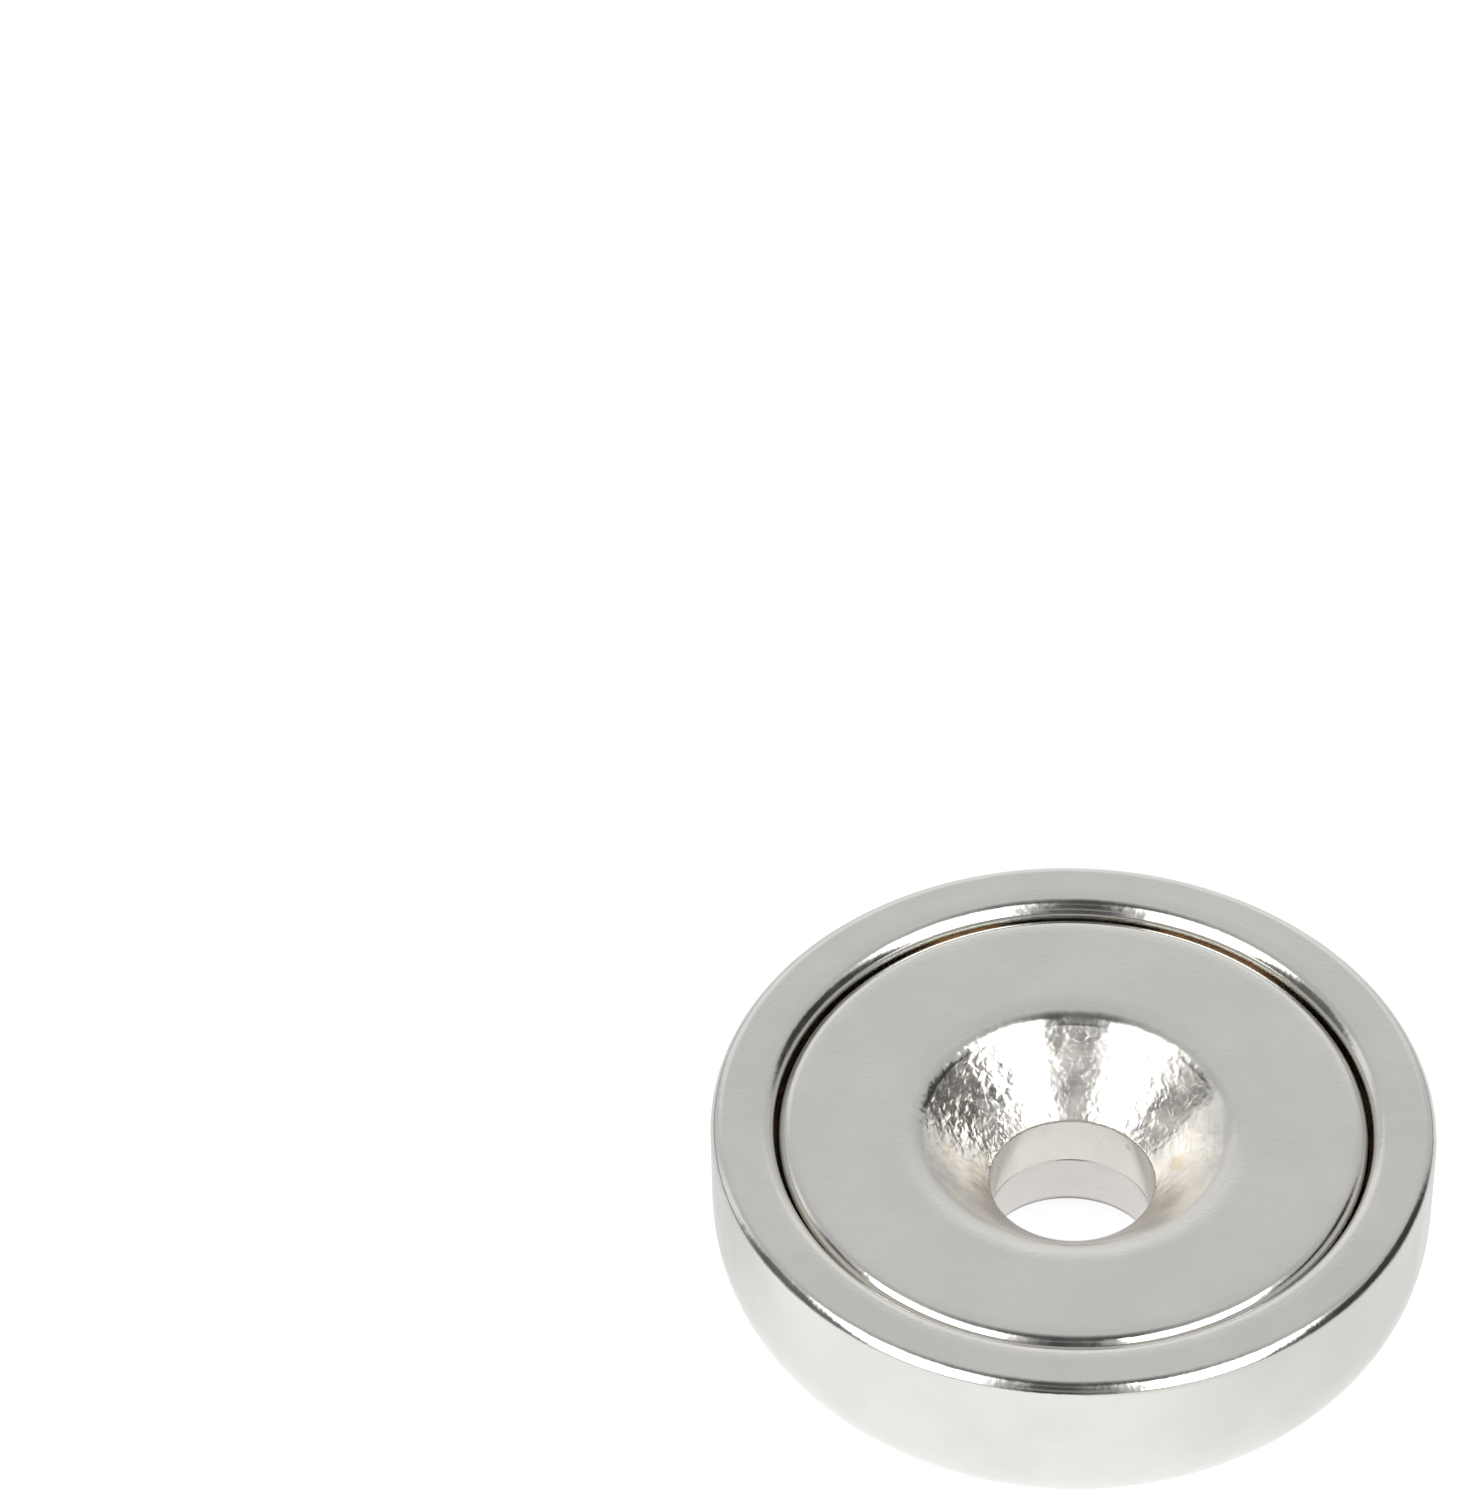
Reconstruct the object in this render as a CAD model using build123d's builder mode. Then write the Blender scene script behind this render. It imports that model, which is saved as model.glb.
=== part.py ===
from build123d import *

from math import radians, tan
import os

# A countersunk pot magnet: a steel cup with a ring magnet bonded into it.
#
# Frame: millimetres, origin at the centre of the flat back face, +Z towards the magnet's
# face. The object rests on its back face. Each piece is turned about Z from a half section
# drawn in the XZ plane, where X is the radius and Z the height.

# Cup
outer_diameter = 25.0
overall_height = 7.7
wall_thickness = 2.2         # at the rim
floor_thickness = 2.8
wall_lean = 0.26             # the side leans in this much towards the back
wall_upright = 0.6           # below the rim the side is upright for this height
shoulder_radius = 4.3        # the round edge between the back face and the side
rim_outer_round = 0.5
rim_inner_round = 0.55
cavity_corner_round = 0.3    # where the cup's floor meets its wall

# Hole for the screw, in line through the cup and the magnet
hole_diameter = 5.5          # clears an M5 screw
hole_roll_radius = 1.7       # rolled-over edge at the back face
countersink_diameter = 11.0  # at the magnet's face, before its edge is rounded
countersink_angle = 90.0
countersink_edge_round = 1.0
countersink_foot_round = 0.2  # where the cone meets the hole

# Magnet
magnet_edge_round = 0.6

# How the pieces fit
ring_gap = 0.1               # clearance between the magnet and the cup's wall, on the radius
face_recess = 0.25           # the magnet's face stands this far below the rim
bond_line = 0.1              # adhesive film between the cup's floor and the magnet
bond_setback = 0.6           # the film stops this far short of the hole
bead_depth = 1.6             # the bead in the ring gap stops this far below the magnet's face

# Radii and heights that follow
outer_radius = outer_diameter / 2
back_radius = outer_radius - wall_lean
cavity_radius = outer_radius - wall_thickness
magnet_radius = cavity_radius - ring_gap
hole_radius = hole_diameter / 2
countersink_radius = countersink_diameter / 2
countersink_depth = (countersink_radius - hole_radius) / tan(radians(countersink_angle / 2))
magnet_back = floor_thickness + bond_line
magnet_face = overall_height - face_recess
film_radius = hole_radius + bond_setback
bead_top = magnet_face - bead_depth


def round_corner(section, radius_at, height_at, round_radius):
    """Round the corner of a half section that lies at the given radius and height."""
    corner = section.vertices().sort_by_distance((radius_at, height_at, 0))[0]
    fillet(corner, radius=round_radius)


# Cup: flat back, round shoulder, side that leans in a little, flat rim, cavity and hole
with BuildPart() as cup:
    with BuildSketch(Plane.XZ) as cup_section:
        with BuildLine():
            Polyline(
                (hole_radius, 0),
                (back_radius, 0),
                (outer_radius, overall_height - wall_upright),
                (outer_radius, overall_height),
                (cavity_radius, overall_height),
                (cavity_radius, floor_thickness),
                (hole_radius, floor_thickness),
                close=True,
            )
        make_face()
        round_corner(cup_section, back_radius, 0, shoulder_radius)
        round_corner(cup_section, outer_radius, overall_height, rim_outer_round)
        round_corner(cup_section, cavity_radius, overall_height, rim_inner_round)
        round_corner(cup_section, cavity_radius, floor_thickness, cavity_corner_round)
        round_corner(cup_section, hole_radius, 0, hole_roll_radius)
    revolve(axis=Axis.Z)
cup.part.label = "cup"

# Magnet: a ring with round edges and a countersink that runs into the hole
with BuildPart() as magnet:
    with BuildSketch(Plane.XZ) as magnet_section:
        with BuildLine():
            Polyline(
                (hole_radius, magnet_back),
                (magnet_radius, magnet_back),
                (magnet_radius, magnet_face),
                (countersink_radius, magnet_face),
                (hole_radius, magnet_face - countersink_depth),
                close=True,
            )
        make_face()
        round_corner(magnet_section, magnet_radius, magnet_back, magnet_edge_round)
        round_corner(magnet_section, magnet_radius, magnet_face, magnet_edge_round)
        round_corner(magnet_section, countersink_radius, magnet_face, countersink_edge_round)
        round_corner(
            magnet_section,
            hole_radius,
            magnet_face - countersink_depth,
            countersink_foot_round,
        )
    revolve(axis=Axis.Z)
magnet.part.label = "magnet"

# Adhesive: a film under the magnet and a bead up the ring gap. Its section is drawn into the
# magnet by one edge round and then cut to the magnet and the cup, so that it meets both.
with BuildPart() as adhesive:
    with BuildSketch(Plane.XZ) as adhesive_section:
        with BuildLine():
            Polyline(
                (film_radius, floor_thickness),
                (cavity_radius, floor_thickness),
                (cavity_radius, bead_top),
                (magnet_radius - magnet_edge_round, bead_top),
                (magnet_radius - magnet_edge_round, magnet_back + magnet_edge_round),
                (film_radius, magnet_back + magnet_edge_round),
                close=True,
            )
        make_face()
        add(magnet_section, mode=Mode.SUBTRACT)
        add(cup_section, mode=Mode.SUBTRACT)
    revolve(axis=Axis.Z)
adhesive.part.label = "adhesive"

os.makedirs("parts", exist_ok=True)
export_step(cup.part, "parts/cup.step")
export_step(magnet.part, "parts/magnet.step")
export_step(adhesive.part, "parts/adhesive.step")
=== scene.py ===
"""Looks, light and camera for the countersunk pot magnet.

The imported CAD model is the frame: metres, origin at the centre of the flat back face, +Z towards
the magnet's face. Each CAD piece is replaced by a finer turned mesh of the same section, with the
small unevenness of plated metal. Sizes are in millimetres where no comment says otherwise.
"""

from collections import namedtuple
from math import atan2, cos, pi, radians, sin, tan

import bpy
import numpy as np
from mathutils import Matrix, Vector, noise


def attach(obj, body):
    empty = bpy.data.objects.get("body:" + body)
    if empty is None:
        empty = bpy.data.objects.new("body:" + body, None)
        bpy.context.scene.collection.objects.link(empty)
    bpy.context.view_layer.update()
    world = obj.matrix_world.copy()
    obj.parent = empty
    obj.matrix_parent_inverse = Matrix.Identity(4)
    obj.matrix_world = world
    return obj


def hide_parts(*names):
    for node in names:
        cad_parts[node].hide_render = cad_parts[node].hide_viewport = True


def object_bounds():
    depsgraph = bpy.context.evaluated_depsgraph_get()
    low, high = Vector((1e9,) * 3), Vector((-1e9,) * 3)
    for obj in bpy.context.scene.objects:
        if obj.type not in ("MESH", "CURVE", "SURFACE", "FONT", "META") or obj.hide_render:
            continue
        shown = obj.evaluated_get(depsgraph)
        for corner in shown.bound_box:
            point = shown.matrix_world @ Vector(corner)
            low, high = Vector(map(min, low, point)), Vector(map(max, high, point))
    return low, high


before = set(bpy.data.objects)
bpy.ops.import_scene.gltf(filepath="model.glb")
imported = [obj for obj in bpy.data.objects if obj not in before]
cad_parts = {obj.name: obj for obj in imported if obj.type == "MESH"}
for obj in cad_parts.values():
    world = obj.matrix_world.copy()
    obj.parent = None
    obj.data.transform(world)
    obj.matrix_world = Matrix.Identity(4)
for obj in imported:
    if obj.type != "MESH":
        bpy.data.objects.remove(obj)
cad_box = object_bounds()

MM = 0.001

# --- Sizes of the pieces: the CAD model's, some set closer to the photograph ------------------
OUTER_R = cad_box[1][0] / MM
HEIGHT = cad_box[1][2] / MM
CAVITY_R = 10.3
FLOOR_Z = 2.8
HOLE_R = 2.75
SHOULDER_ROUND = 4.22
HOLE_ROLL = 1.5
WALL_FOOT_R = 12.26
RIM_OUTER_ROUND = 0.5
RIM_INNER_ROUND = 0.55
RIM_FALL = 0.03
CAVITY_ROUND = 0.3

MAGNET_R = 10.2
MAGNET_BACK = 2.815
MAGNET_FACE = 7.45
MAGNET_EDGE_ROUND = 0.6
MAGNET_BORE_R = 2.84
COUNTERSINK_R = 5.52
COUNTERSINK_EDGE_ROUND = 1.0
COUNTERSINK_FOOT_ROUND = 0.2
COUNTERSINK_FOOT_Z = MAGNET_FACE - (COUNTERSINK_R - MAGNET_BORE_R)
MAGNET_BACK_ROUND = 0.3

# Soft falls beside the edge rounds: slope, width and the round where each meets the flat.
EASE_ROUND = 3.0
EDGE_EASE = tan(radians(6))
RIM_EASE_WIDTH = 0.7
FACE_EASE_WIDTH = 0.75
LIP_EASE = tan(radians(10))
LIP_EASE_WIDTH = 0.6

FILM_R = 3.35
BEAD_TOP = 5.85
BROKEN_EDGE = 0.03

# Segments round the axis, and the stops at each end of a straight run, where it is that long.
SEGMENTS = 600
GLUE_SEGMENTS = 360
END_STOPS, END_SHARE = (0, 0.02, 0.06, 0.14), 0.3

# --- Camera: distance in mm, angles in degrees, scale in pixels per mm at the origin ------------
IMAGE_W, IMAGE_H = 1470, 1500
CAMERA_DISTANCE = 740.0
CAMERA_ELEVATION = 47.0
CAMERA_ROLL = 1.87
CAMERA_SCALE = 28.875
ORIGIN_IN_IMAGE = (1068.9, 1275.0)
SENSOR = 36.0


# --- Turned meshes --------------------------------------------------------------------------
Corner = namedtuple("Corner", "radius height round steps look run_step run_look")


def graded(length, step):
    """Distances along a straight run: close together at its ends, step apart in the middle."""
    ends = [e for e in END_STOPS if e < length * END_SHARE]
    inner = length - 2 * ends[-1]
    count = max(1, round(inner / step))
    middle = [ends[-1] + inner * i / count for i in range(1, count)]
    return ends + middle + [length - e for e in reversed(ends)]


def section(corners):
    """A closed half section as (radius, height) points, with the look of the stretch after each."""
    points, looks = [], []
    arcs = []
    for i, corner in enumerate(corners):
        before = Vector((corners[i - 1].radius, corners[i - 1].height))
        here = Vector((corner.radius, corner.height))
        after = corners[(i + 1) % len(corners)]
        after = Vector((after.radius, after.height))
        arcs.append(arc(before, here, after, corner.round, corner.steps))
    for i, corner in enumerate(corners):
        points += arcs[i]
        looks += [corner.look] * (len(arcs[i]) - 1)
        start, end = arcs[i][-1], arcs[(i + 1) % len(corners)][0]
        run = end - start
        stops = graded(run.length, corner.run_step)
        points += [start + run * (s / run.length) for s in stops[1:-1]]
        looks += [corner.run_look] * (len(stops) - 1)
    return points, looks


def arc(before, here, after, radius, steps):
    """The points of a round of that radius between two straight runs that meet here."""
    if radius <= 0:
        return [here]
    to_before = (before - here).normalized()
    to_after = (after - here).normalized()
    half = to_before.angle(to_after) / 2
    reach = radius / tan(half)
    centre = here + (to_before + to_after).normalized() * (radius / sin(half))
    start = here + to_before * reach - centre
    end = here + to_after * reach - centre
    turn = atan2(start.x * end.y - start.y * end.x, start.dot(end))
    return [centre + Matrix.Rotation(turn * k / steps, 2) @ start for k in range(steps + 1)]


def turned(name, corners, segments, materials, shape):
    """A solid of revolution about Z. shape moves its points, given their places and normals."""
    points, looks = section(corners)
    rings = len(points)
    radius = np.array([p.x for p in points])
    height = np.array([p.y for p in points])
    turn = np.arange(segments) * (2 * pi / segments)
    place = np.empty((rings, segments, 3))
    place[..., 0] = radius[:, None] * np.sin(turn)
    place[..., 1] = -radius[:, None] * np.cos(turn)
    place[..., 2] = height[:, None]
    slope_r = np.roll(radius, -1) - np.roll(radius, 1)
    slope_z = np.roll(height, -1) - np.roll(height, 1)
    size = np.hypot(slope_r, slope_z)
    out_r, out_z = slope_z / size, -slope_r / size
    normal = np.empty_like(place)
    normal[..., 0] = out_r[:, None] * np.sin(turn)
    normal[..., 1] = -out_r[:, None] * np.cos(turn)
    normal[..., 2] = out_z[:, None]
    place = shape(place, normal)
    index = np.arange(rings * segments).reshape(rings, segments)
    below = np.roll(index, -1, axis=0)
    quads = np.stack([index, np.roll(index, -1, axis=1), np.roll(below, -1, axis=1), below], -1)
    mesh = bpy.data.meshes.new(name)
    mesh.from_pydata((place.reshape(-1, 3) * MM).tolist(), [], quads.reshape(-1, 4).tolist())
    for look in materials:
        mesh.materials.append(materials[look])
    order = list(materials)
    slots = np.repeat([order.index(look) for look in looks], segments)
    mesh.polygons.foreach_set("material_index", slots.astype(np.int32))
    mesh.polygons.foreach_set("use_smooth", np.ones(len(slots), bool))
    mesh.validate()
    piece = bpy.data.objects.new(name, mesh)
    bpy.context.scene.collection.objects.link(piece)
    return piece


# --- Node helpers ---------------------------------------------------------------------------
class Nodes:
    """Short calls that add nodes to one tree and link their inputs."""

    def __init__(self, tree):
        self.tree = tree
        tree.nodes.clear()

    def add(self, kind, inputs=None, **settings):
        node = self.tree.nodes.new(kind)
        for key, value in settings.items():
            setattr(node, key, value)
        for key, value in (inputs or {}).items():
            self.feed(node.inputs[key], value)
        return node

    def feed(self, socket, value):
        if isinstance(value, bpy.types.NodeSocket):
            self.tree.links.new(value, socket)
        else:
            socket.default_value = value

    def math(self, operation, *values):
        inputs = dict(enumerate(values))
        return self.add("ShaderNodeMath", inputs, operation=operation).outputs[0]

    def step(self, value, low, high, first=0.0, last=1.0):
        """Smooth change from first to last as value goes from low to high."""
        inputs = {"Value": value, "From Min": low, "From Max": high}
        inputs.update({"To Min": first, "To Max": last})
        node = self.add("ShaderNodeMapRange", inputs, interpolation_type="SMOOTHSTEP")
        return node.outputs["Result"]

    def window(self, value, low, high, soft):
        """1 where value is between low and high, with soft ends."""
        rise = self.step(value, low - soft, low + soft)
        fall = self.step(value, high - soft, high + soft, 1.0, 0.0)
        return self.math("MULTIPLY", rise, fall)

    def blend(self, share, first, last):
        return self.add("ShaderNodeMix", {"Factor": share, 2: first, 3: last}).outputs[0]

    def tint(self, share, first, last):
        inputs = {"Factor": share, 6: first, 7: last}
        return self.add("ShaderNodeMix", inputs, data_type="RGBA").outputs[2]

    def noise(self, vector, scale, detail, distortion=0.0):
        inputs = {"Vector": vector, "Scale": scale, "Detail": detail, "Distortion": distortion}
        return self.add("ShaderNodeTexNoise", inputs).outputs["Fac"]


def new_material(name):
    material = bpy.data.materials.new(name)
    material.use_nodes = True
    return material, Nodes(material.node_tree)


# --- Materials ------------------------------------------------------------------------------
# Reflectance of the plating, warm and cool; it wanders between the two.
NICKEL_TINTS = (0.748, 0.735, 0.696, 1), (0.708, 0.704, 0.680, 1)
RIM_TINTS = (0.735, 0.722, 0.684, 1), (0.695, 0.691, 0.668, 1)
# Warm bores. The magnet's bore is lighter and the pot's bore, lower in the hole, darker than the
# plating: painted light and shade down the hole.
LIT_BORE_TINTS = (0.79, 0.75, 0.70, 1), (0.76, 0.74, 0.71, 1)
SHADED_CUP_BORE_TINTS = (0.71, 0.67, 0.64, 1), (0.68, 0.66, 0.64, 1)
# The countersink's warm tint is far lighter than the plating's: a painted highlight for its many
# glints.
CONE_HIGHLIGHT_TINTS = (0.94, 0.90, 0.84, 1), NICKEL_TINTS[1]
STAIN_YELLOW = (0.72, 0.60, 0.36, 1)
STAIN_BROWN = (0.60, 0.52, 0.42, 1)
EPOXY_LIGHT = (0.48, 0.23, 0.07, 1)
EPOXY_DARK = (0.24, 0.11, 0.03, 1)
EPOXY_GRAIN = 1500.0
EPOXY_BUMP = 0.02
EPOXY_ROUGHNESS = 0.25

# Clouds and grain of the plating: features per metre, and the part of the noise that they use.
CLOUDS, CLOUD_RANGE = 350.0, (0.35, 0.65)
GRAIN, GRAIN_RANGE = 900.0, (0.3, 0.7)
CLOUD_DETAIL, BUMP_DETAIL = 4.0, 1.2

# Stains: features per metre and their detail, then how ragged the stains are and where they start
# and end, as shares of their radius.
STAIN_GRAIN, STAIN_DETAIL = 2500.0, 3.0
STAIN_RAGGED, STAIN_CORE, STAIN_END = 1.2, 0.4, 1.1

# The countersink. Directions are in degrees about Z from the far side, rightwards.
WRINKLE_R = 4.0 * MM
WRINKLE_STRETCH = 1.5
WRINKLE_TWIST = 0.3
WRINKLED_LEFT, LEFT_SOFT, LEFT_WRINKLES = (-88.0, -34.0), 12.0, 1.35
WRINKLED_RIGHT, RIGHT_SOFT, RIGHT_WRINKLES = (26.0, 62.0), 10.0, 0.85
WRINKLED_MIDDLE, MIDDLE_SOFT, MIDDLE_WRINKLES = (-9.0, 8.0), 5.0, 0.8
MIDDLE_HEIGHTS = 5.0 * MM, 6.6 * MM
LEAST_WRINKLES = 0.8
SATIN = 0.40
SATIN_PLACE = -1.2 * MM, 0.9 * MM


def wrinkle_share(n, place):
    """How wrinkled the countersink is: strongly on its left, less on its right and behind."""
    x, y, z = n.add("ShaderNodeSeparateXYZ", {0: place}).outputs[:3]
    turn = n.math("DEGREES", n.math("ARCTAN2", x, y))
    left = n.math("MULTIPLY", n.window(turn, *WRINKLED_LEFT, LEFT_SOFT), LEFT_WRINKLES)
    right = n.math("MULTIPLY", n.window(turn, *WRINKLED_RIGHT, RIGHT_SOFT), RIGHT_WRINKLES)
    middle = n.math("MULTIPLY", n.window(turn, *WRINKLED_MIDDLE, MIDDLE_SOFT), MIDDLE_WRINKLES)
    middle = n.math("MULTIPLY", middle, n.step(z, *MIDDLE_HEIGHTS))
    share = n.math("MAXIMUM", n.math("MAXIMUM", left, right), middle)
    return n.math("ADD", share, LEAST_WRINKLES)


def around_cone(n, place):
    """Coordinates for wrinkles that run up and down the countersink, unrolled at one radius."""
    x, y, z = n.add("ShaderNodeSeparateXYZ", {0: place}).outputs[:3]
    flat = n.add("ShaderNodeCombineXYZ", {0: x, 1: y}).outputs[0]
    ring = n.add("ShaderNodeVectorMath", {0: flat}, operation="NORMALIZE").outputs[0]
    inputs = {0: ring, "Scale": WRINKLE_R}
    ring = n.add("ShaderNodeVectorMath", inputs, operation="SCALE").outputs[0]
    lift = n.add("ShaderNodeCombineXYZ", {2: n.math("MULTIPLY", z, WRINKLE_STRETCH)}).outputs[0]
    return n.add("ShaderNodeVectorMath", {0: ring, 1: lift}, operation="ADD").outputs[0]


def stained(n, place, colour, stains):
    """Lay soft irregular spots over a colour.

    Each stain is its centre in mm, its radius in mm, its colour and its strength.
    """
    ragged = n.math("SUBTRACT", n.noise(place, STAIN_GRAIN, STAIN_DETAIL), 0.5)
    for centre, radius, stain, strength in stains:
        ends = {0: place, 1: Vector(centre) * MM}
        away = n.add("ShaderNodeVectorMath", ends, operation="DISTANCE").outputs["Value"]
        away = n.math("ADD", away, n.math("MULTIPLY", ragged, radius * MM * STAIN_RAGGED))
        share = n.step(away, radius * MM * STAIN_CORE, radius * MM * STAIN_END, strength, 0.0)
        colour = n.tint(share, colour, stain)
    return colour


def nickel(name, rough, bumps, stretch=(1, 1, 1), cone=False, stains=(), tints=NICKEL_TINTS):
    """Plated nickel.

    rough is its least and most roughness. Each bump is its features per mm and its height in mm.
    """
    material, n = new_material(name)
    place = n.add("ShaderNodeTexCoord").outputs["Object"]
    if cone:
        grain = around_cone(n, place)
    else:
        grain = n.add("ShaderNodeMapping", {"Vector": place, "Scale": stretch}).outputs[0]
    cloud = n.noise(place, CLOUDS, CLOUD_DETAIL)
    colour = n.tint(n.step(cloud, *CLOUD_RANGE), *tints)
    colour = stained(n, place, colour, stains) if stains else colour
    roughness = n.step(n.noise(grain, GRAIN, CLOUD_DETAIL), *GRAIN_RANGE, *rough)
    if cone:
        y = n.add("ShaderNodeSeparateXYZ", {0: place}).outputs[1]
        roughness = n.blend(n.step(y, *SATIN_PLACE, 1.0, 0.0), roughness, SATIN)
    inputs = {"Base Color": colour, "Roughness": roughness}
    share = wrinkle_share(n, place) if cone else 1.0
    for per_mm, height in bumps:
        field = n.noise(grain, per_mm / MM, BUMP_DETAIL, WRINKLE_TWIST if cone else 0.0)
        field = n.math("MULTIPLY", field, share)
        bump = {"Height": field, "Strength": 1.0, "Distance": height * MM}
        if "Normal" in inputs:
            bump["Normal"] = inputs["Normal"]
        inputs["Normal"] = n.add("ShaderNodeBump", bump).outputs["Normal"]
    shader = n.add("ShaderNodeBsdfPrincipled", inputs)
    shader.inputs["Metallic"].default_value = 1.0
    n.add("ShaderNodeOutputMaterial", {"Surface": shader.outputs[0]})
    return material


def epoxy():
    """Cured amber adhesive."""
    material, n = new_material("amber_epoxy")
    place = n.add("ShaderNodeTexCoord").outputs["Object"]
    cloud = n.noise(place, EPOXY_GRAIN, CLOUD_DETAIL)
    colour = n.tint(n.step(cloud, *GRAIN_RANGE), EPOXY_LIGHT, EPOXY_DARK)
    bump = n.add("ShaderNodeBump", {"Height": cloud, "Strength": 1.0, "Distance": EPOXY_BUMP * MM})
    shader = n.add("ShaderNodeBsdfPrincipled", {"Base Color": colour, "Normal": bump.outputs[0]})
    shader.inputs["Roughness"].default_value = EPOXY_ROUGHNESS
    n.add("ShaderNodeOutputMaterial", {"Surface": shader.outputs[0]})
    return material


# --- The pieces -----------------------------------------------------------------------------
NOISE_SHIFT = 7.3, 3.1, 5.7

# Waves of the cup: height in mm, features per mm, seed. The pairs under them are where they fade in
# or out, in mm: radii for OUTSIDE and ON_RIM, heights for the others.
WALL_WAVE = 0.003, 0.7, 2
BEND_WAVE = 0.010, 1.5, 1
RIM_WAVE = 0.0035, 1.7, 5
WALL_WAVE_STRETCH = 1, 1, 0.4
OUTSIDE = 8.0, 9.5
ON_RIM = 10.4, 10.6
BELOW_EDGE = HEIGHT - 0.7, HEIGHT - 1.6
BEND_FOOT = 0.02, 0.8
BEND_TOP = 4.6, 3.4
RIM_FOOT = HEIGHT - 0.8, HEIGHT - 0.5

# Wrinkles of the countersink: height in mm, features per mm, seed, then where they fade, in mm.
CONE_WAVES = [(0.011, 1.3, 3), (0.004, 2.6, 4)]
CONE_INNER = MAGNET_BORE_R + 0.05, 3.5
CONE_OUTER = 5.7, 5.0
CONE_LOWEST = 4.0, 4.9
CONE_UNROLLED_R = 4
CONE_LIFT = 0.9
CONE_LEAST = 0.35


def ramp(value, low, high):
    """Smooth rise from 0 at low to 1 at high; low above high makes it a fall."""
    share = np.clip((value - low) / (high - low), 0, 1)
    return share * share * (3 - 2 * share)


def wavy(where, per_mm, seed):
    """Smooth noise from -1 to 1 at every point; each seed reads another part of it."""
    shift = Vector([seed * apart for apart in NOISE_SHIFT])
    values = [noise.noise(Vector(p) * per_mm + shift) for p in where.reshape(-1, 3).tolist()]
    return np.array(values).reshape(where.shape[:-1])


def radius_of(place):
    return np.hypot(place[..., 0], place[..., 1])


def uneven_cup(place, normal):
    """Slow waves in the drawn wall and shoulder, and faint ones along the rim."""
    height = place[..., 2]
    wall = ramp(radius_of(place), *OUTSIDE) * ramp(height, *BELOW_EDGE)
    bend = wall * ramp(height, *BEND_FOOT) * ramp(height, *BEND_TOP)
    rim = ramp(radius_of(place), *ON_RIM) * ramp(height, *RIM_FOOT)
    push = WALL_WAVE[0] * wall * wavy(place * WALL_WAVE_STRETCH, *WALL_WAVE[1:])
    push += BEND_WAVE[0] * bend * wavy(place, *BEND_WAVE[1:])
    push += RIM_WAVE[0] * rim * wavy(place, *RIM_WAVE[1:])
    return place + normal * push[..., None]


def make_cup():
    materials = {
        "side": nickel(
            "nickel_side",
            rough=(0.14, 0.24),
            bumps=[(1.2, 0.004), (9.0, 0.002)],
            stretch=(1, 1, 0.25),
        ),
        "rim": nickel(
            "nickel_rim", rough=(0.25, 0.29), bumps=[(1.5, 0.008), (7.0, 0.009)], tints=RIM_TINTS
        ),
        "edge": nickel("nickel_cup_edge", rough=(0.12, 0.19), bumps=[(3.0, 0.007), (8.0, 0.002)]),
        "shoulder": nickel(
            "nickel_shoulder", rough=(0.10, 0.18), bumps=[(2.5, 0.012), (6.0, 0.004)]
        ),
        "back": nickel("nickel_back", rough=(0.24, 0.30), bumps=[(5.0, 0.003)]),
        "bore": nickel(
            "nickel_cup_bore", rough=(0.22, 0.32), bumps=[(3.0, 0.004)], tints=SHADED_CUP_BORE_TINTS
        ),
        "wall": nickel("nickel_cavity", rough=(0.10, 0.16), bumps=[(4.0, 0.004)]),
    }
    edge_fall = RIM_EASE_WIDTH * EDGE_EASE
    corners = [
        Corner(HOLE_R, 0, HOLE_ROLL, 16, "bore", 0.8, "back"),
        Corner(WALL_FOOT_R, 0, SHOULDER_ROUND, 40, "shoulder", 0.4, "side"),
        Corner(OUTER_R, HEIGHT - RIM_FALL, RIM_OUTER_ROUND, 12, "edge", 0.2, "rim"),
        Corner(CAVITY_R + RIM_EASE_WIDTH, HEIGHT, EASE_ROUND, 5, "rim", 0.1, "rim"),
        Corner(CAVITY_R, HEIGHT - edge_fall, RIM_INNER_ROUND, 14, "edge", 0.4, "wall"),
        Corner(CAVITY_R, FLOOR_Z, CAVITY_ROUND, 3, "wall", 3.0, "wall"),
        Corner(MAGNET_BORE_R, FLOOR_Z, BROKEN_EDGE, 3, "bore", 0.3, "bore"),
    ]
    cup = turned("pot", corners, SEGMENTS, materials, uneven_cup)
    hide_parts("cup")
    return cup


def uneven_magnet(place, normal):
    """Wrinkles that run up and down the countersink."""
    radius = radius_of(place)
    cone = ramp(radius, *CONE_INNER) * ramp(radius, *CONE_OUTER) * ramp(place[..., 2], *CONE_LOWEST)
    around = place[..., :2] / radius[..., None] * CONE_UNROLLED_R
    unrolled = np.concatenate([around, place[..., 2:] * CONE_LIFT], -1)
    turn = np.degrees(np.arctan2(place[..., 0], place[..., 1]))
    start, end = WRINKLED_LEFT
    left = ramp(turn, start - LEFT_SOFT, start + LEFT_SOFT)
    left = left * ramp(turn, end + LEFT_SOFT, end - LEFT_SOFT)
    cone *= CONE_LEAST + left
    push = sum(height * wavy(unrolled, per_mm, seed) for height, per_mm, seed in CONE_WAVES)
    return place + normal * (cone * push)[..., None]


# Stains: centre in mm, radius in mm, colour, strength.
CONE_STAINS = [
    ((3.61, 0.24, 5.61), 0.45, STAIN_YELLOW, 0.5),
    ((-3.1, -0.5, 5.1), 0.8, STAIN_BROWN, 0.45),
    ((-4.3, -0.2, 6.3), 0.5, STAIN_YELLOW, 0.2),
    ((3.4, -1.7, 5.8), 0.8, STAIN_BROWN, 0.35),
]
BORE_STAINS = [((1.9, 2.1, 4.3), 0.16, STAIN_BROWN, 0.7)]


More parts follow.
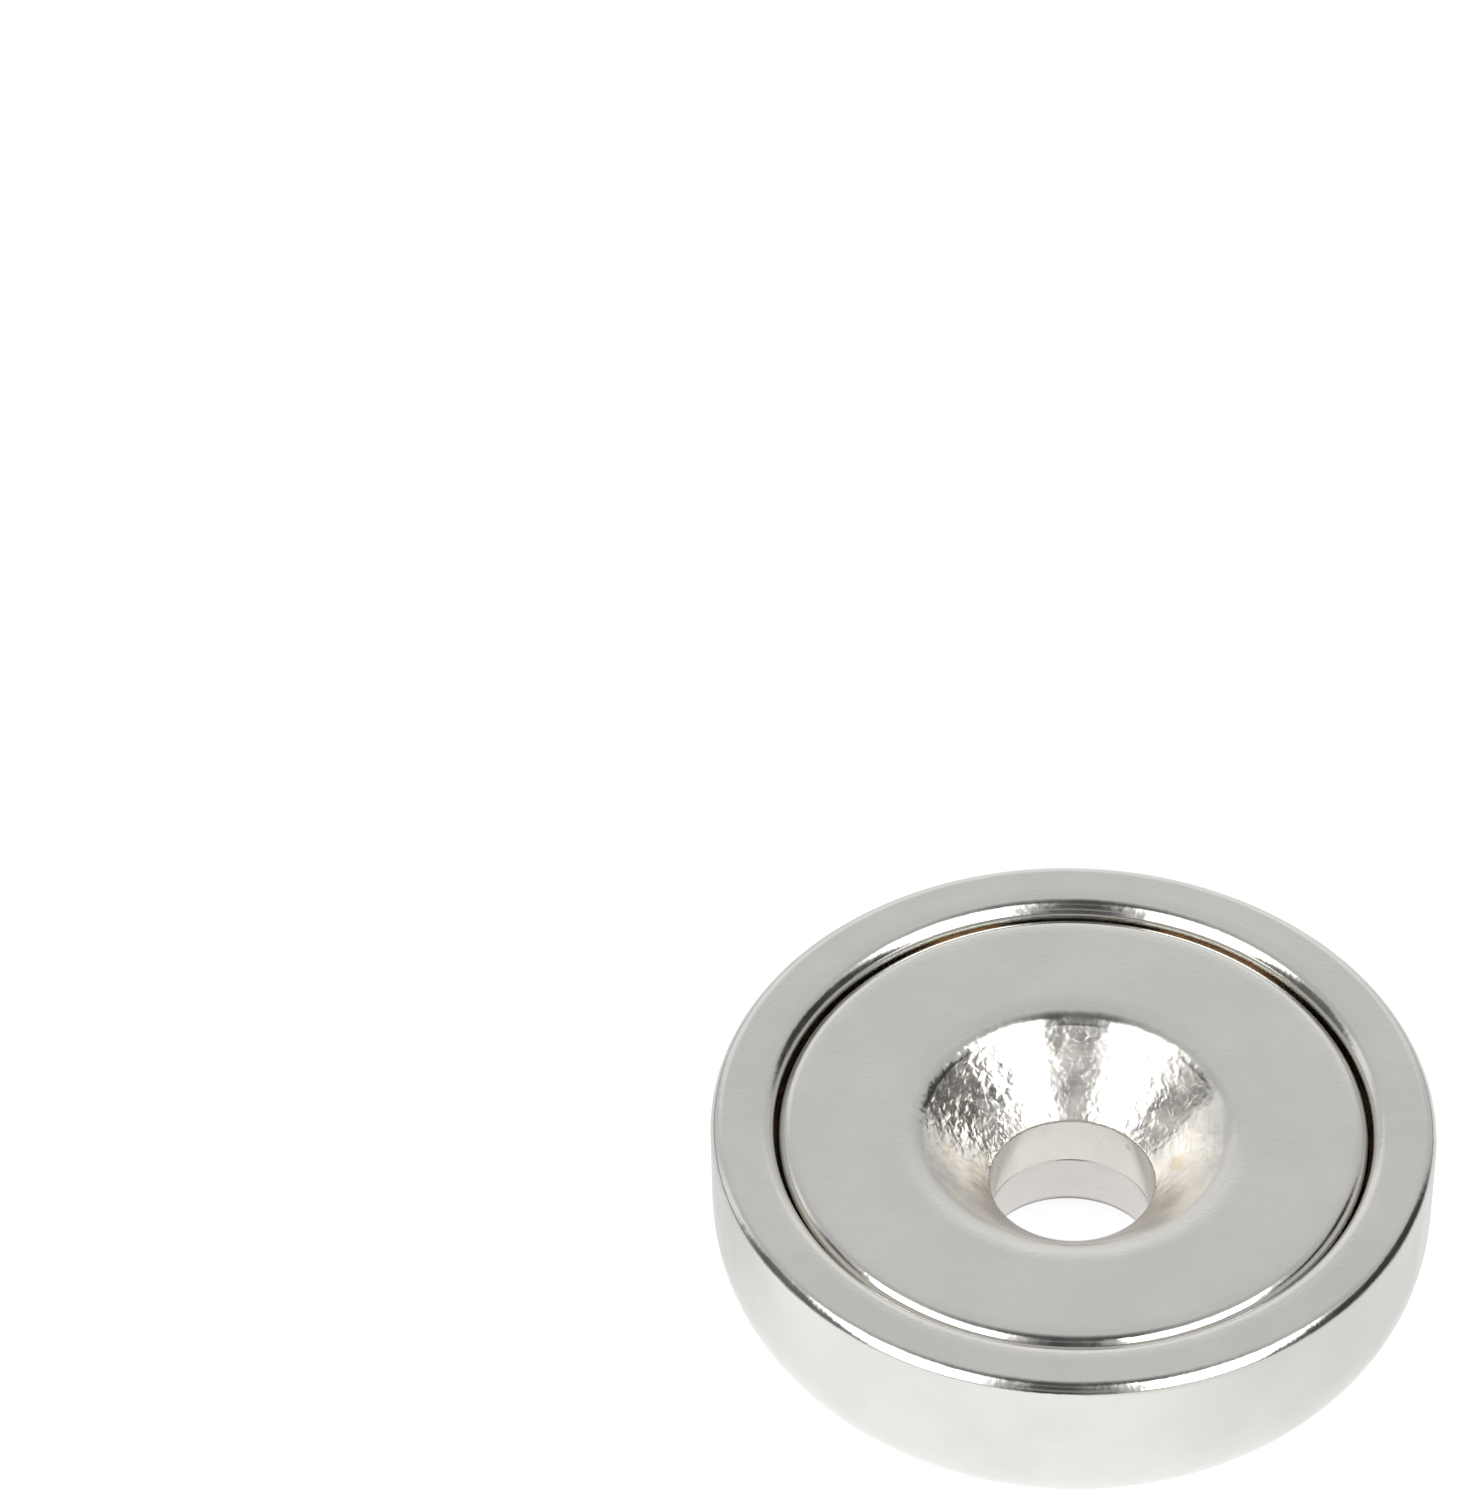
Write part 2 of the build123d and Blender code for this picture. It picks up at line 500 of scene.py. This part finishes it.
def make_magnet():
    materials = {
        "face": nickel("nickel_face", rough=(0.25, 0.29), bumps=[(1.2, 0.008), (7.0, 0.009)]),
        "edge": nickel("nickel_magnet_edge", rough=(0.10, 0.17), bumps=[(3.0, 0.005)]),
        "lip": nickel(
            "nickel_countersink_lip",
            rough=(0.14, 0.24),
            bumps=[(1.5, 0.018), (3.3, 0.016)],
            cone=True,
        ),
        "cone": nickel(
            "nickel_countersink",
            rough=(0.24, 0.35),
            bumps=[(1.5, 0.027), (3.3, 0.026)],
            cone=True,
            stains=CONE_STAINS,
            tints=CONE_HIGHLIGHT_TINTS,
        ),
        "bore": nickel(
            "nickel_magnet_bore",
            rough=(0.22, 0.32),
            bumps=[(3.0, 0.004)],
            stains=BORE_STAINS,
            tints=LIT_BORE_TINTS,
        ),
        "wall": nickel("nickel_magnet_wall", rough=(0.10, 0.16), bumps=[(4.0, 0.004)]),
    }
    edge_fall = FACE_EASE_WIDTH * EDGE_EASE
    lip_fall = LIP_EASE_WIDTH * LIP_EASE / (1 - LIP_EASE)
    lip_r, lip_z = COUNTERSINK_R - lip_fall, MAGNET_FACE - lip_fall
    foot = MAGNET_BORE_R, COUNTERSINK_FOOT_Z
    corners = [
        Corner(MAGNET_BORE_R, MAGNET_BACK, BROKEN_EDGE, 3, "bore", 2.0, "bore"),
        Corner(MAGNET_R, MAGNET_BACK, MAGNET_BACK_ROUND, 4, "wall", 0.4, "wall"),
        Corner(MAGNET_R, MAGNET_FACE - edge_fall, MAGNET_EDGE_ROUND, 14, "edge", 0.1, "face"),
        Corner(MAGNET_R - FACE_EASE_WIDTH, MAGNET_FACE, EASE_ROUND, 5, "face", 0.5, "face"),
        Corner(COUNTERSINK_R + LIP_EASE_WIDTH, MAGNET_FACE, EASE_ROUND, 8, "face", 0.1, "face"),
        Corner(lip_r, lip_z, COUNTERSINK_EDGE_ROUND, 12, "lip", 0.06, "cone"),
        Corner(*foot, COUNTERSINK_FOOT_ROUND, 5, "cone", 0.3, "bore"),
    ]
    magnet = turned("ring_magnet", corners, SEGMENTS, materials, uneven_magnet)
    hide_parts("magnet")
    return magnet


# The bead's top: waves (height in mm, waves round, phase) and crests (middle and half width in
# degrees, rise in mm) with slopes so many degrees to each side.
BEAD_WAVES = [(0.15, 5, 1.0), (0.10, 11, 0.0)]
BEAD_CRESTS = [(-22.0, 12.0, 1.1), (27.0, 16.0, 1.1)]
BEAD_SLOPE = 7
BEAD_HOLLOW = 0.06
NEARLY = 0.01


def bead_level(place, normal):
    """Raise and lower the bead's top along the gap; it stands highest in two places at the back."""
    turn = np.arctan2(place[..., 0], place[..., 1])
    level = sum(height * np.sin(count * turn + phase) for height, count, phase in BEAD_WAVES)
    for middle, half, rise in BEAD_CRESTS:
        away = np.abs(np.degrees(turn) - middle)
        level = np.maximum(level, rise * ramp(away, half + BEAD_SLOPE, half - BEAD_SLOPE))
    across = radius_of(place) - MAGNET_R
    hollow = 1 - (across / (CAVITY_R - MAGNET_R) * 2 - 1) ** 2
    top = place[..., 2] > BEAD_TOP - NEARLY
    moved = place.copy()
    moved[..., 2] += np.where(top, level - BEAD_HOLLOW * hollow, 0)
    return moved


def make_adhesive():
    corners = [
        Corner(FILM_R, FLOOR_Z, 0, 1, "glue", 2.0, "glue"),
        Corner(CAVITY_R, FLOOR_Z, CAVITY_ROUND, 3, "glue", 1.0, "glue"),
        Corner(CAVITY_R, BEAD_TOP, 0, 1, "glue", 0.04, "glue"),
        Corner(MAGNET_R, BEAD_TOP, 0, 1, "glue", 1.0, "glue"),
        Corner(MAGNET_R, MAGNET_BACK, MAGNET_BACK_ROUND, 4, "glue", 2.0, "glue"),
        Corner(FILM_R, MAGNET_BACK, 0, 1, "glue", 0.1, "glue"),
    ]
    glue = turned("adhesive_bead", corners, GLUE_SEGMENTS, {"glue": epoxy()}, bead_level)
    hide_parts("adhesive")
    return glue


# --- Floor, world and lights, in metres -------------------------------------------------------
FLOOR_COLOUR = (0.27, 0.27, 0.27, 1)
FLOOR_GLOW = 0.84
FLOOR_BELOW = 0.00002
FLOOR_REACH = 1.5
CAMERA_GLOW = 1.06

# Painted shade on the floor's glow in reflections: where it is dimmer, then what it falls to or by.
DIM_RIGHT, RIGHT_SHINE = (0.003, 0.015), 0.76
DIM_LEFT, DIM_LEFT_DEPTH, LEFT_LOSS = (-0.016, -0.008), (-0.010, 0.001), 0.33
UNDER_INNER, UNDER_OUTER, UNDER_SHINE = (0.0028, 0.0034), (0.0085, 0.0105), 0.25
FAR_SIDES, FAR_SHINE = (0.035, 0.060), 0.12


def painted_floor_shade(n, place):
    """Painted shade in the floor's reflections: less right, far left, under the pot, far off."""
    x, y = n.add("ShaderNodeSeparateXYZ", {0: place}).outputs[:2]
    left = n.math("MULTIPLY", n.step(x, *DIM_LEFT, LEFT_LOSS, 0.0), n.step(y, *DIM_LEFT_DEPTH))
    right = n.step(x, *DIM_RIGHT, 1.0, RIGHT_SHINE)
    shine = n.math("MULTIPLY", right, n.math("SUBTRACT", 1.0, left))
    away = n.add("ShaderNodeVectorMath", {0: place}, operation="LENGTH").outputs["Value"]
    # Painted shade under the pot: the floor's reflections there fall dark.
    under = n.math("MULTIPLY", n.step(away, *UNDER_INNER), n.step(away, *UNDER_OUTER, 1.0, 0.0))
    shine = n.math("MULTIPLY", shine, n.step(under, 0.0, 1.0, 1.0, UNDER_SHINE))
    return n.math("MULTIPLY", shine, n.step(n.math("ABSOLUTE", x), *FAR_SIDES, 1.0, FAR_SHINE))


def make_floor():
    """A plain pale floor that keeps the shadow and shows white, with painted shade in reflections.
    """
    material, n = new_material("pale_floor")
    path = n.add("ShaderNodeLightPath").outputs
    mirrored = n.math("MAXIMUM", path["Is Glossy Ray"], path["Is Transmission Ray"])
    shine = painted_floor_shade(n, n.add("ShaderNodeTexCoord").outputs["Object"])
    seen = n.math("MULTIPLY", path["Is Camera Ray"], CAMERA_GLOW)
    glow = n.math("ADD", seen, n.math("MULTIPLY", mirrored, shine))
    diffuse = n.add("ShaderNodeBsdfDiffuse", {"Color": FLOOR_COLOUR})
    white = n.add("ShaderNodeEmission", {"Strength": n.math("MULTIPLY", glow, FLOOR_GLOW)})
    both = n.add("ShaderNodeAddShader", {0: diffuse.outputs[0], 1: white.outputs[0]})
    n.add("ShaderNodeOutputMaterial", {"Surface": both.outputs[0]})
    corners = [(x, y, -FLOOR_BELOW) for x, y in ((-1, -1), (1, -1), (1, 1), (-1, 1))]
    corners = [(x * FLOOR_REACH, y * FLOOR_REACH, z) for x, y, z in corners]
    mesh = bpy.data.meshes.new("floor")
    mesh.from_pydata(corners, [], [(0, 1, 2, 3)])
    mesh.materials.append(material)
    floor = bpy.data.objects.new("floor", mesh)
    bpy.context.scene.collection.objects.link(floor)


# The studio, in degrees. side is a direction about Z from the camera's side and behind is one from
# the far side, both rightwards; up is the elevation. A pair is where a zone fades in or out, or the
# two ends of a window with soft ends, or the levels that a fade goes between. CEILING_DEPTH is in
# the direction's own y.
WALL_FADE, WALL_LEVELS = (20.0, 75.0), (0.68, 0.54)
LOW_WALL, LOW_WALL_SOFT, LOW_WALL_TOP, LOW_WALL_LEVEL = (-78.0, 24.0), 10.0, (28.0, 44.0), 0.93
LOW_PATCH, LOW_PATCH_SOFT, LOW_PATCH_LEVEL = (-58.0, -38.0), 7.0, 0.66
CEILING_UP, CEILING_DEPTH, CEILING_LEVELS = (62.0, 84.0), (-0.10, 0.40), (0.12, 0.46)
LEFT_GAP, LEFT_GAP_LEAN, LEFT_GAP_LEVEL = (-43.0, -34.0), 1.25, 0.14
LEFT_GAP_END, LEFT_GAP_TOP = (-109.0, -97.0), (36.0, 44.0)
RIGHT_GAP, RIGHT_GAP_LEAN, RIGHT_GAP_LEVEL = (40.0, 48.0), -0.7, 0.05
RIGHT_GAP_END, RIGHT_GAP_TOP = (119.0, 131.0), (33.0, 41.0)
CROWN, CROWN_SOFT, CROWN_UP, CROWN_LEVEL = (-60.0, 60.0), 14.0, (58.0, 68.0), 0.08
COLUMN, COLUMN_SOFT, COLUMN_TOP = (-15.0, 15.0), 5.0, (55.0, 70.0)
COLUMN_BRIGHT, COLUMN_FADE, COLUMN_LEVELS = 25.0, (3.0, 10.0), (0.26, 0.07)


def pale_walls(n, behind, up, y):
    """The walls, a brighter low stretch of them behind the table, and the ceiling."""
    level = n.step(n.math("ABSOLUTE", behind), *WALL_FADE, *WALL_LEVELS)
    low = n.window(behind, *LOW_WALL, LOW_WALL_SOFT)
    low = n.math("MULTIPLY", low, n.step(up, *LOW_WALL_TOP, 1.0, 0.0))
    patch = n.window(behind, *LOW_PATCH, LOW_PATCH_SOFT)
    level = n.blend(low, level, n.step(patch, 0.0, 1.0, LOW_WALL_LEVEL, LOW_PATCH_LEVEL))
    return n.blend(n.step(up, *CEILING_UP), level, n.step(y, *CEILING_DEPTH, *CEILING_LEVELS))


def dark_gaps(n, level, side, up):
    """Dark gaps beside the lights, one to the left and one to the right; one edge of each leans."""
    lean = n.math("ADD", side, n.math("MULTIPLY", up, LEFT_GAP_LEAN))
    left = n.math("MULTIPLY", n.step(lean, *LEFT_GAP, 1.0, 0.0), n.step(side, *LEFT_GAP_END))
    left = n.math("MULTIPLY", left, n.step(up, *LEFT_GAP_TOP, 1.0, 0.0))
    level = n.blend(left, level, LEFT_GAP_LEVEL)
    lean = n.math("ADD", side, n.math("MULTIPLY", up, RIGHT_GAP_LEAN))
    right = n.math("MULTIPLY", n.step(lean, *RIGHT_GAP), n.step(side, *RIGHT_GAP_END, 1.0, 0.0))
    right = n.math("MULTIPLY", right, n.step(up, *RIGHT_GAP_TOP, 1.0, 0.0))
    return n.blend(right, level, RIGHT_GAP_LEVEL)


def studio_level(n):
    """How bright the studio is each way: pale walls, a dim ceiling, dark gaps and a dark column."""
    way = n.add("ShaderNodeTexCoord").outputs["Generated"]
    x, y, z = n.add("ShaderNodeSeparateXYZ", {0: way}).outputs[:3]
    side = n.math("DEGREES", n.math("ARCTAN2", x, n.math("MULTIPLY", y, -1.0)))
    behind = n.math("DEGREES", n.math("ARCTAN2", x, y))
    up = n.math("DEGREES", n.math("ARCSINE", z))
    level = dark_gaps(n, pale_walls(n, behind, up, y), side, up)
    crown = n.math("MULTIPLY", n.window(side, *CROWN, CROWN_SOFT), n.step(up, *CROWN_UP))
    level = n.blend(crown, level, CROWN_LEVEL)
    away = n.math("ABSOLUTE", n.math("SUBTRACT", up, COLUMN_BRIGHT))
    column = n.step(away, *COLUMN_FADE, *COLUMN_LEVELS)
    column = n.blend(n.step(up, *COLUMN_TOP), column, level)
    return n.blend(n.window(side, *COLUMN, COLUMN_SOFT), level, column)


def make_world():
    world = bpy.data.worlds.new("studio")
    bpy.context.scene.world = world
    world.use_nodes = True
    n = Nodes(world.node_tree)
    path = n.add("ShaderNodeLightPath").outputs["Is Camera Ray"]
    studio = n.add("ShaderNodeBackground", {"Strength": studio_level(n)})
    white = n.add("ShaderNodeBackground", {"Strength": 1.0})
    mixed = n.add("ShaderNodeMixShader", {0: path, 1: studio.outputs[0], 2: white.outputs[0]})
    studio.inputs["Color"].default_value = (1, 1, 1, 1)
    white.inputs["Color"].default_value = (1, 1, 1, 1)
    n.add("ShaderNodeOutputWorld", {"Surface": mixed.outputs[0]})


# The lights: width and length as shares of the distance, directions of the right one before it
# swings, and for each its side and its swing in degrees.
PANEL_DISTANCE = 0.9
PANEL_RADIANCE = 2.2
PANEL_SIZE = 0.82, 1.60
PANEL_CENTRE = 0.586, -0.798, 0.614
PANEL_ALONG = -0.095, 0.680, 0.727
PANEL_ACROSS = 0.797, 0.603, -0.110
PANELS = {"panel_right": (1, 9.5), "panel_left": (-1, 10.0)}


def make_panel(name, mirror, swing):
    """A strip softbox beside the camera that leans over the table.

    mirror is 1 for the right, -1 for the left. swing turns it about Z, away from the camera.
    """
    around = Matrix.Rotation(radians(swing * mirror), 3, "Z") @ Matrix.Diagonal((mirror, 1, 1))
    centre = around @ Vector(PANEL_CENTRE) * PANEL_DISTANCE
    along = around @ Vector(PANEL_ALONG)
    across = around @ Vector(PANEL_ACROSS)
    toward = across.cross(along).normalized()
    if toward.dot(centre) < 0:
        toward = -toward
    along = (along - toward * along.dot(toward)).normalized()
    across = along.cross(toward).normalized()
    light = bpy.data.lights.new(name, "AREA")
    light.shape = "RECTANGLE"
    light.size = PANEL_SIZE[0] * PANEL_DISTANCE
    light.size_y = PANEL_SIZE[1] * PANEL_DISTANCE
    light.energy = PANEL_RADIANCE * pi * light.size * light.size_y
    panel = bpy.data.objects.new(name, light)
    turn = Matrix((across, along, toward)).transposed()
    panel.matrix_world = Matrix.Translation(centre) @ turn.to_4x4()
    panel.visible_camera = False
    bpy.context.scene.collection.objects.link(panel)


def make_camera():
    """The photograph's view; the origin of the scene lies off the image's centre."""
    focal = CAMERA_SCALE * CAMERA_DISTANCE
    away = radians(CAMERA_ELEVATION)
    place = Vector((0, -cos(away), sin(away))) * CAMERA_DISTANCE * MM
    to_origin = -place.normalized()
    right = to_origin.cross(Vector((0, 0, 1))).normalized()
    up = right.cross(to_origin)
    roll = radians(CAMERA_ROLL)
    right, up = right * cos(roll) + up * sin(roll), up * cos(roll) - right * sin(roll)
    seen_at = ORIGIN_IN_IMAGE[0] - IMAGE_W / 2, IMAGE_H / 2 - ORIGIN_IN_IMAGE[1]
    ray = Vector((seen_at[0] / focal, seen_at[1] / focal, -1)).normalized()
    ray_right = ray.cross(Vector((0, 1, 0))).normalized()
    ray_up = ray_right.cross(ray)
    in_world = Matrix((right, up, -to_origin)).transposed()
    in_camera = Matrix((ray_right, ray_up, -ray)).transposed()
    data = bpy.data.cameras.new("camera")
    data.sensor_width = SENSOR
    data.lens = focal / max(IMAGE_W, IMAGE_H) * SENSOR
    camera = bpy.data.objects.new("camera", data)
    camera.matrix_world = Matrix.Translation(place) @ (in_world @ in_camera.transposed()).to_4x4()
    bpy.context.scene.collection.objects.link(camera)
    bpy.context.scene.camera = camera


# --- The scene ------------------------------------------------------------------------------
GLOSSY_BOUNCES = 12

bpy.context.scene.view_settings.view_transform = "Standard"
bpy.context.scene.cycles.glossy_bounces = GLOSSY_BOUNCES
for piece in (make_cup(), make_magnet(), make_adhesive()):
    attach(piece, "root")
make_floor()
make_world()
for name, values in PANELS.items():
    make_panel(name, *values)
make_camera()
